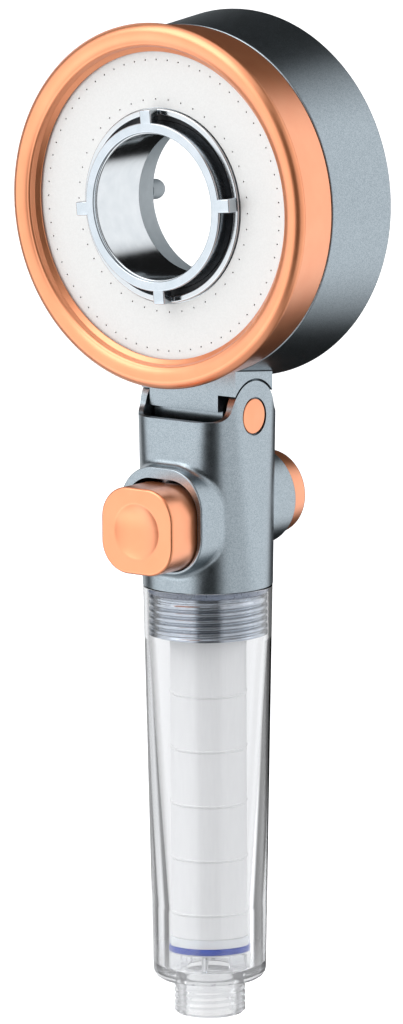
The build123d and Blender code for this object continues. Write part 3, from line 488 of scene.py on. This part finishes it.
FINISHES = {
    "clear_plastic": clear_plastic(),
    "filter_media": filter_media(),
    "white_plastic": white_plastic(),
    "blue_seal": rubber("blue_rubber", (0.003, 0.04, 0.38), (0.006, 0.055, 0.46)),
    "gunmetal": gunmetal(),
    "spigot_metal": turned_metal(
        "spigot_plating", (0.37, 0.40, 0.44), (0.43, 0.46, 0.50), 0.14, 0.20
    ),
    "clear_seal": clear_seal(),
    "brass": turned_metal("turned_brass", (0.72, 0.52, 0.22), (0.80, 0.60, 0.28), 0.22, 0.34),
    "dark_plastic": dark_plastic(),
    "screw_steel": turned_metal(
        "screw_steel", (0.55, 0.55, 0.56), (0.65, 0.65, 0.66), 0.22, 0.34
    ),
    "rose_gold": rose_gold(),
    "black_seal": rubber("black_rubber", (0.015, 0.015, 0.017), (0.035, 0.035, 0.038)),
    "plate_steel": plate_steel(),
    "chrome": chrome(),
    "chrome_plastic": chrome_plastic(),
    "grey_plastic": grey_plastic(),
}


def dress(piece, body, slot):
    """The piece rides on a body and takes a slot's finish."""
    piece.data.materials.append(FINISHES[slot])
    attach(piece, body)


# each CAD node's slots take the finish that they are named after
for node in frame["nodes"].values():
    for material_slot in node.material_slots:
        material_slot.material = FINISHES[material_slot.material.name.split(".")[0]]


# ---- head ------------------------------------------------------------------------------
HEAD_CENTRE = (0, 0, HEAD_Z)


def make_bezel():
    """Front ring: outer crown, a valley, a narrow inner band and a wall down to the plate."""
    front, back = span("bezel_ring", "Y")
    outside = radius_of("bezel_ring", "Y")
    foot_y = span("spray_plate", "Y")[0] - 0.35
    foot_r, inside = outside - 9.0, outside - 5.85
    lip_y, lip_r = front + 2.9, outside - 7.1
    band = (front + 2.0, lip_r + 0.35)
    valley = (front + 1.0, outside - 5.8)
    crown = (front + 0.03, outside - 2.6)
    shoulder = (front + 2.2, outside - 0.02)
    skirt_y, skirt_r = front + 2.93, outside - 2.2
    outline = soften(
        [
            (foot_y, inside),
            (foot_y, foot_r, 0.3),
            (lip_y, lip_r, 0.35),
            *bow(band, valley, 0.2, 8)[:-1],
            *bow(valley, crown, 0.2, 14)[:-1],
            *bow(crown, shoulder, 0.42, 14)[:-1],
            (skirt_y, outside - 0.05, 0.3),
            (skirt_y, skirt_r, 0.1),
            (back, skirt_r, 0.3),
            (back, inside, 0.3),
        ]
    )
    piece = lathe("bezel", outline, "Y", HEAD_CENTRE)
    dress(piece, "head", "rose_gold")
    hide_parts("bezel_ring")


def make_trim_band():
    """Side band that tapers to the rear, with a dark seam at each end."""
    front, back = span("trim_band", "Y")
    outside = radius_of("trim_band", "Y")
    seam = 0.2
    front_y = front + seam
    rear_y = span("head_shell", "Y")[0] - 0.3 - seam
    rear_r = outside - 1.2
    lap_y, lap_r = front + 5.3, outside - 1.35  # the bezel's skirt lies in this step
    spigot_r, inside = outside - 3.8, outside - 5.7
    outline = soften(
        [
            (front_y, lap_r, 0.1),
            (front_y, outside, 0.3),
            (rear_y, rear_r, 0.3),
            (rear_y, spigot_r, 0.2),
            (back, spigot_r, 0.3),
            (back, inside, 0.3),
            (lap_y, inside),
            (lap_y, lap_r),
        ]
    )
    piece = lathe("side_band", outline, "Y", HEAD_CENTRE)
    dress(piece, "head", "rose_gold")
    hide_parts("trim_band")


def make_head_shell():
    """Flared drum with a dished back."""
    front, back = span("head_shell", "Y")
    outside = radius_of("head_shell", "Y")
    front_r = outside - 2.65
    front_wall, rim_wall, dish_wall = 2.3, 1.6, 2.2
    hub_r = radius_of("selector_ring", "Y") - 2.4
    hub_y = span("selector_ring", "Y")[1] - 2.0
    inner_hub = (hub_y - dish_wall, hub_r + 0.5)
    inner_rim = (back - 3.2, outside - 3.3)
    bulge, steps = 1.95, 24
    outline = soften(
        [
            (front, front_r - front_wall, 0.2),
            (front, front_r, 0.45),
            (back, outside, 1.3),
            *bow((back, outside - rim_wall), (hub_y, hub_r), -bulge, steps),
            (hub_y - dish_wall, hub_r, 0.3),
            *bow(inner_hub, inner_rim, bulge, steps),
        ]
    )
    piece = lathe("head_drum", outline, "Y", HEAD_CENTRE)
    dress(piece, "head", "gunmetal")
    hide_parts("head_shell")


def make_rim_ring():
    """Chrome ring that stands in the plate's hole, on a thin flange."""
    front, back = span("rim_ring", "Y")
    flange_r = radius_of("rim_ring", "Y")
    flange_y = back - 0.7
    outside = flange_r - 0.9
    inside = outside - 1.8
    outline = soften(
        [
            (back, inside, 0.1),
            (front, inside, 0.3),
            (front, outside, 0.45),
            (flange_y, outside),
            (flange_y, flange_r, 0.1),
            (back, flange_r, 0.1),
        ]
    )
    piece = lathe("plate_rim", outline, "Y", HEAD_CENTRE)
    dress(piece, "head", "chrome")
    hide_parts("rim_ring")


# ---- selector --------------------------------------------------------------------------
LUG_COUNT = 4
LUG_WIDTH = 4.0
LUG_DEPTH = 3.8
LUG_REACH = 3.7  # out of the ring
LUG_ROOT = 0.8  # into the ring
LUG_ANGLE = radians(5)  # of the first lug, above the +X side


def make_lug_ring():
    """Front ring that the fingers turn, with four lugs over the rim."""
    front, back = span("lug_ring", "Y")
    half_tip = LUG_WIDTH / 2 * sin(LUG_ANGLE)
    tip = (radius_of("lug_ring", "Y") - half_tip) / cos(LUG_ANGLE)
    outside = tip - LUG_REACH
    inside = radius_of("bore_liner", "Y") - 1.2
    face, wall = 0.9, 1.6
    outline = soften(
        [
            (front, inside, 0.4),
            (front, outside, 0.45),
            (back, outside, 0.2),
            (back, outside - wall),
            (front + face, outside - wall),
            (front + face, inside),
        ]
    )
    piece = lathe("finger_ring", outline, "Y", HEAD_CENTRE)
    dress(piece, "selector", "chrome_plastic")
    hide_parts("lug_ring")

    root, gap = outside - LUG_ROOT, 0.02
    middle = ((root + tip) / 2, front + LUG_DEPTH / 2, 0)
    size = (tip - root, LUG_DEPTH - 2 * gap, LUG_WIDTH)
    to_head = Matrix.Translation(Vector(HEAD_CENTRE) * MM)
    for lug in range(LUG_COUNT):
        angle = LUG_ANGLE + lug * 2 * pi / LUG_COUNT
        piece = rounded_box(f"finger_lug_{lug + 1}", middle, size, 0.4)
        piece.data.transform(to_head @ Matrix.Rotation(-angle, 4, "Y"))
        dress(piece, "selector", "chrome_plastic")


def make_bore():
    """Plated liner through the head, then the grey ring behind with its thumb stud."""
    front, back = span("bore_liner", "Y")
    outside = radius_of("bore_liner", "Y")
    inside = outside - 1.6
    outline = soften(
        [
            (front, inside, 0.4),
            (front, outside),
            (back, outside, 0.1),
            (back, inside, 0.25),
        ]
    )
    liner = lathe("bore_tube", outline, "Y", HEAD_CENTRE)
    dress(liner, "selector", "chrome")
    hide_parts("bore_liner")

    front, back = span("selector_ring", "Y")
    flange_r = radius_of("selector_ring", "Y")
    flange_y = back - 1.2
    body_r = flange_r - 3.2
    outline = soften(
        [
            (front, inside + 0.3, 0.25),
            (back - 0.6, inside + 1.6, 0.2),
            (back, inside + 2.2, 0.3),
            (back, flange_r, 0.45),
            (flange_y, flange_r, 0.2),
            (flange_y, body_r),
            (front, body_r, 0.1),
        ]
    )
    ring = lathe("rear_ring", outline, "Y", HEAD_CENTRE)
    dress(ring, "selector", "grey_plastic")
    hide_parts("selector_ring")

    front, back = span("thumb_stud", "Y")
    left, right = span("thumb_stud", "X")
    stud_r = (right - left) / 2
    chamfer = 0.3
    dome = [
        (back - stud_r + stud_r * sin(angle), stud_r * cos(angle))
        for angle in (radians(degree) for degree in range(0, 90, 6))
    ]
    outline = [
        (front, 0),
        (front, stud_r - chamfer),
        (front + chamfer, stud_r),
        *dome,
        (back, 0),
    ]
    stud = lathe("stud", outline, "Y", ((left + right) / 2, 0, HEAD_Z), SMALL_SEGMENTS)
    dress(stud, "selector", "grey_plastic")
    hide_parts("thumb_stud")


# ---- clear handle and filter -----------------------------------------------------------
INLET_R = frame["record"]["mounts"][0]["dims"]["r_mm"]
INLET_BORE_R = 7.0
PIPE_PITCH = 1.814
PIPE_DEPTH = 0.45
FIN_COUNT = 6
FIN_WALL = 1.2


def make_clear_handle():
    """Clear tube on its threaded neck, with the cup that holds the filter's foot."""
    foot, top = span("clear_handle", "Z")
    top_r = radius_of("clear_handle", "Z")
    socket_r, socket_z = top_r - 1.2, top - 15.6
    seat = span("filter_bottom_cap", "Z")[0]
    cup_r = radius_of("filter_seal", "Z") + 0.1
    cup_floor = seat - 5
    cup_top = cup_floor + 18
    shoulder_z, shoulder_r = foot + 10.6, top_r - 2.4
    chamfer, run_out = 0.8, 0.6
    thread_foot, thread_top = foot + chamfer, shoulder_z - run_out
    outline = soften(
        [
            (foot, INLET_BORE_R, 0.4),
            (foot, INLET_R - chamfer, 0.2),
            *fine_wall(thread_foot, thread_top, INLET_R, 72),
            (shoulder_z, INLET_R, 0.5),
            (shoulder_z, shoulder_r, 4.0),
            (top, top_r, 0.35),
            (top, socket_r, 0.2),
            (socket_z, socket_r, 4.0),
            (cup_top, cup_r, 6.0),
            (cup_floor, cup_r, 0.8),
            (cup_floor, INLET_BORE_R, 0.4),
        ]
    )
    wind = thread(thread_foot, thread_top - run_out, PIPE_PITCH, PIPE_DEPTH, INLET_R - 0.2)
    piece = lathe("handle_tube", outline, "Z", wind=wind)
    dress(piece, "handle", "clear_plastic")
    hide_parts("clear_handle")

    side_gap, end_gap = 0.1, 0.05
    middle = ((cup_r + INLET_BORE_R) / 2, 0, (seat + cup_floor) / 2)
    size = (cup_r - INLET_BORE_R - 2 * side_gap, FIN_WALL, seat - cup_floor - 2 * end_gap)
    for fin in range(FIN_COUNT):
        piece = rounded_box(f"cup_fin_{fin + 1}", middle, size, 0.2)
        piece.data.transform(Matrix.Rotation(2 * pi * fin / FIN_COUNT, 4, "Z"))
        dress(piece, "handle", "clear_plastic")


def make_filter():
    """Wound sleeve with its hoops, and the blue seal round its foot."""
    foot, top = span("filter_sleeve", "Z")
    hoop_r = radius_of("filter_sleeve", "Z")
    media_r = hoop_r - 0.25
    inside = radius_of("filter_core", "Z") + 0.1
    chamfer = 0.3
    outline = [(foot, inside), (foot, media_r - chamfer), (foot + chamfer, media_r)]
    hoop_count, hoop_first, hoop_pitch = 5, 7.1, 16.2
    for hoop in range(hoop_count):
        low = foot + hoop_first + hoop * hoop_pitch
        outline += [
            (low - 0.35, media_r),
            (low - 0.12, media_r - 0.22),
            (low + 0.05, media_r - 0.2),
            (low + 0.15, hoop_r - 0.05),
            (low + 0.3, hoop_r),
            (low + 0.45, hoop_r),
            (low + 0.65, media_r + 0.02),
            (low + 0.9, media_r),
        ]
    outline += [(top - chamfer, media_r), (top, media_r - chamfer), (top, inside)]
    piece = lathe("filter_wrap", outline, "Z")
    dress(piece, "handle", "filter_media")
    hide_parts("filter_sleeve")

    low, high = span("filter_seal", "Z")
    seal_r = radius_of("filter_seal", "Z")
    seal_in, rounding = seal_r - 1.45, 0.6
    outline = soften(
        [(low, seal_in), (low, seal_r, rounding), (high, seal_r, rounding), (high, seal_in)]
    )
    piece = lathe("blue_lip_seal", outline, "Z", segments=SMALL_SEGMENTS)
    dress(piece, "handle", "blue_seal")
    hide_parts("filter_seal")


def make_spigot_thread():
    """Coarse thread that the clear handle screws onto, with narrow grooves."""
    low, high = span("spigot_thread", "Z")
    crest = radius_of("spigot_thread", "Z")
    depth, pitch, narrow = 0.8, 2.0, 2
    root = crest - depth - 0.4
    outline = [(low, root), *fine_wall(low, high, crest, 130), (high, root)]
    wind = thread(low - 0.01, high + 0.01, pitch, depth, crest - 0.1, narrow)
    piece = lathe("spigot_ridges", outline, "Z", wind=wind)
    dress(piece, "handle", "spigot_metal")
    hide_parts("spigot_thread")


# ---- stop valve's button and caps ------------------------------------------------------
def make_stop_button():
    """Rounded square button with a finger dimple in its face."""
    front, back = span("stop_button", "Y")
    left, right = span("stop_button", "X")
    low, high = span("stop_button", "Z")
    half_wide, half_tall, corner = (right - left) / 2, (high - low) / 2, 9.4
    dimple_r, dimple_depth, dimple_steps = 8.3, 1.9, 24
    sphere_r = (dimple_r**2 + dimple_depth**2) / (2 * dimple_depth)
    lip, lip_depth = 0.45, 0.045
    edge, edge_steps, edge_y = 0.9, 6, front + 0.024
    angles = [2 * pi * side / SEGMENTS for side in range(SEGMENTS)]

    def ring(y, radii):
        return [(r * cos(a), y, VALVE_Z + r * sin(a)) for r, a in zip(radii, angles)]

    def circle(radius):
        return [radius] * SEGMENTS

    def border(inset):
        return [
            square_reach(angle, half_wide - inset, half_tall - inset, corner - inset)
            for angle in angles
        ]

    loops = [[(0, front + dimple_depth, VALVE_Z)]]
    for step in range(1, dimple_steps + 1):
        radius = dimple_r * 0.985 * step / dimple_steps
        depth = dimple_depth - sphere_r + sqrt(sphere_r**2 - radius**2)
        loops.append(ring(front + max(depth, lip_depth), circle(radius)))
    for grown, depth in ((0.05, 0.03), (0.22, 0.008), (lip, 0.0)):
        loops.append(ring(front + depth, circle(dimple_r + grown)))
    face_edge = border(edge + 0.25)
    for share in (0.3, 0.6, 0.85, 1.0):  # the face, from the lip's circle to the square edge
        radii = [(dimple_r + lip) * (1 - share) + reach * share for reach in face_edge]
        loops.append(ring(front + (edge_y - front) * share**2, radii))
    for step in range(edge_steps + 1):
        angle = pi / 2 * step / edge_steps
        loops.append(ring(edge_y + edge * (1 - cos(angle)), border(edge * (1 - sin(angle)))))
    loops.append(ring(edge_y + edge + 0.3, border(0)))
    loops.append(ring(back - 0.6, border(0)))
    loops.append(ring(back - 0.1, border(0.1)))
    loops.append(ring(back, border(0.5)))
    loops.append([(0, back, VALVE_Z)])
    piece = piece_of("button", *bridge(loops, closed=False))
    dress(piece, "stop_valve", "rose_gold")
    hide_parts("stop_button")


def make_rear_cap():
    """Round cap that tapers behind its boss, with a shallow recess in its face."""
    front, back = span("rear_cap", "Y")
    boss_y = span("handle_shell", "Y")[1]
    outside = radius_of("rear_cap", "Y")
    face_r, recess_r, recess = outside - 4.5, outside - 5.2, 0.35
    outline = soften(
        [
            (front, 0),
            (front, outside - 0.3, 0.2),
            (front + 0.5, outside, 0.2),
            (boss_y, outside, 0.5),
            (back, outside - 1.0, 1.2),
            (back, face_r, 0.3),
            (back - recess, recess_r, 0.3),
            (back - recess, 0),
        ]
    )
    piece = lathe("return_cap", outline, "Y", (0, 0, REAR_CAP_Z))
    dress(piece, "stop_valve", "rose_gold")
    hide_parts("rear_cap")


def make_pin_caps():
    """Domed caps on short stems over the tilt axle's ends."""
    stem_r, stem_end, head_depth = 2.5, 3.2, 1.2
    dome_height, dome_edge = 0.12, 0.7
    for node, name, side in (
        ("pin_cap_left", "axle_cap_left", -1),
        ("pin_cap_right", "axle_cap_right", 1),
    ):
        low, high = span(node, "X")
        face = high if side > 0 else low
        cap_r = radius_of(node, "X")
        flat = face - side * dome_height
        outline = soften(
            [
                (face - side * stem_end, 0),
                (face - side * stem_end, stem_r, 0.2),
                (face - side * head_depth, stem_r),
                (face - side * head_depth, cap_r, 0.15),
                (flat, cap_r, 0.45),
                *bow((flat, cap_r - dome_edge), (face, 0), side * -0.02, 8),
            ]
        )
        piece = lathe(name, outline, "X", (0, 0, PIVOT_Z), SMALL_SEGMENTS)
        dress(piece, "handle", "rose_gold")
        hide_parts(node)


make_bezel()
make_trim_band()
make_head_shell()
make_rim_ring()
make_lug_ring()
make_bore()
make_clear_handle()
make_filter()
make_spigot_thread()
make_stop_button()
make_rear_cap()
make_pin_caps()


# ---- stage, light and camera -----------------------------------------------------------
def make_floor():
    """Plain pale floor below the object, which stands free above it."""
    half, drop, cells = 12000, 150, 12
    step, row = 2 * half / cells, cells + 1
    points = [(step * i - half, step * j - half, -drop) for j in range(row) for i in range(row)]
    corners = [j * row + i for j in range(cells) for i in range(cells)]
    faces = [(corner, corner + 1, corner + row + 1, corner + row) for corner in corners]
    floor = piece_of("floor", points, faces)
    finish = Finish("pale_floor", Emission_Color=(1, 1, 1, 1), Emission_Strength=0.7)
    finish.colour(finish.noise(400), (0.90, 0.90, 0.90), (0.92, 0.92, 0.92))
    finish.roughness(finish.noise(80), 0.8, 0.9)
    floor.data.materials.append(finish.material)
    floor.visible_glossy = False
    floor.visible_diffuse = False
    floor.visible_transmission = False


def heading(azimuth, elevation):
    """Direction towards an azimuth and elevation; azimuth 0 is -Y and 90 is +X."""
    a, e = radians(azimuth), radians(elevation)
    return Vector((sin(a) * cos(e), -cos(a) * cos(e), sin(e)))


def make_world():
    """A pale studio: upright cards round the object, dark gaps between them, a soft ceiling."""
    world = bpy.data.worlds.new("studio")
    bpy.context.scene.world = world
    world.use_nodes = True
    nodes, links = world.node_tree.nodes, world.node_tree.links
    nodes.clear()
    places = nodes.new("ShaderNodeTexCoord").outputs["Generated"]

    def vector_math(operation, first, second=None):
        node = nodes.new("ShaderNodeVectorMath")
        node.operation = operation
        links.new(first, node.inputs[0])
        if second is not None:
            node.inputs[1].default_value = second
        return node.outputs["Value" if operation == "DOT_PRODUCT" else "Vector"]

    def number_math(operation, first, second=0):
        node = nodes.new("ShaderNodeMath")
        node.operation = operation
        links.new(first, node.inputs[0])
        if isinstance(second, (int, float)):
            node.inputs[1].default_value = second
        else:
            links.new(second, node.inputs[1])
        return node.outputs["Value"]

    def fade(source, dark, full, bright=1):
        """Brightness that rises smoothly while the source runs from dark to full."""
        node = nodes.new("ShaderNodeMapRange")
        node.interpolation_type = "SMOOTHSTEP"
        node.inputs["From Min"].default_value = dark
        node.inputs["From Max"].default_value = full
        node.inputs["To Max"].default_value = bright
        links.new(source, node.inputs["Value"])
        return node.outputs["Result"]

    def card(direction, aim, half, edge, bright):
        """Brightness that is even within half degrees of aim and fades over its edge."""
        nearness = vector_math("DOT_PRODUCT", direction, aim)
        return fade(nearness, cos(radians(half + edge)), cos(radians(half)), bright)

    level = vector_math("NORMALIZE", vector_math("MULTIPLY", places, (1, 1, 0)))
    front = card(level, heading(-31, 0), 38, 14, 1.5)
    right = card(level, heading(92, 0), 20, 16, 1.05)
    rear = card(level, heading(146, 0), 16, 16, 1.4)
    left = card(level, heading(-118, 0), 6, 16, 0.9)
    sides = number_math("ADD", front, right)
    upright = number_math("ADD", sides, number_math("ADD", rear, left))
    height = number_math("ABSOLUTE", vector_math("DOT_PRODUCT", places, (0, 0, 1)))
    walls = number_math("MULTIPLY", upright, fade(height, 0.88, 0.5))
    ceiling = card(places, heading(-20, 70), 12, 34, 1.25)
    ground = card(places, heading(-20, -65), 22, 33, 0.8)
    gap = 0.012
    cards = number_math("ADD", number_math("ADD", walls, ceiling), ground)
    studio = nodes.new("ShaderNodeBackground")
    links.new(number_math("ADD", cards, gap), studio.inputs["Strength"])
    studio.inputs["Color"].default_value = (0.97, 0.985, 1.0, 1)

    # The backdrop is white. Through the clear handle it is a little dimmer, and it gives way to
    # the studio where a mirror lies on the way.
    mirror_loss, handle_loss = 0.8, 0.12
    backdrop = nodes.new("ShaderNodeBackground")
    backdrop.inputs["Color"].default_value = (1, 1, 1, 1)
    path = nodes.new("ShaderNodeLightPath")
    mirrored = number_math("GREATER_THAN", path.outputs["Glossy Depth"], 0.5)
    direct = number_math("ADD", number_math("MULTIPLY", mirrored, -mirror_loss), 1)
    through = number_math("MULTIPLY", path.outputs["Is Transmission Ray"], direct)
    seen = number_math("MAXIMUM", path.outputs["Is Camera Ray"], through)
    dimmed = number_math("ADD", number_math("MULTIPLY", through, -handle_loss), 1)
    links.new(dimmed, backdrop.inputs["Strength"])
    mix = nodes.new("ShaderNodeMixShader")
    links.new(seen, mix.inputs["Fac"])
    links.new(studio.outputs["Background"], mix.inputs[1])
    links.new(backdrop.outputs["Background"], mix.inputs[2])
    output = nodes.new("ShaderNodeOutputWorld")
    links.new(mix.outputs["Shader"], output.inputs["Surface"])


def make_panel(name, azimuth, elevation, wide, tall, power, mirrored):
    """A soft box that looks at the middle of the object; mirrored ones show in reflections."""
    distance = 1.3
    middle = Vector((0, 0, 0.16))
    light = bpy.data.lights.new(name, "AREA")
    light.shape = "RECTANGLE"
    light.size, light.size_y = wide, tall
    light.energy = power
    lamp = bpy.data.objects.new(name, light)
    direction = heading(azimuth, elevation)
    lamp.location = middle + direction * distance
    lamp.rotation_mode = "QUATERNION"
    lamp.rotation_quaternion = (-direction).to_track_quat("-Z", "Y")
    lamp.visible_glossy = mirrored
    bpy.context.scene.collection.objects.link(lamp)


def make_camera():
    """Long lens, a little above the object and to its right."""
    azimuth, elevation, distance, roll = 37.87, 9.81, 2.0, -0.3
    target = Vector((-0.00138, -0.00107, 0.14916))
    data = bpy.data.cameras.new("camera")
    data.sensor_width = 36
    data.lens = 241.4
    camera = bpy.data.objects.new("camera", data)
    direction = heading(azimuth, elevation)
    camera.location = target + direction * distance
    camera.rotation_mode = "QUATERNION"
    aim = (-direction).to_track_quat("-Z", "Y")
    camera.rotation_quaternion = aim @ Quaternion((0, 0, 1), radians(roll))
    bpy.context.scene.collection.objects.link(camera)
    bpy.context.scene.camera = camera


make_floor()
make_world()
make_panel("key_panel", -30, 50, wide=0.9, tall=0.9, power=4, mirrored=True)
make_panel("side_panel", 120, 15, wide=0.6, tall=1.0, power=1.5, mirrored=False)
make_camera()
bpy.context.scene.view_settings.view_transform = "Standard"
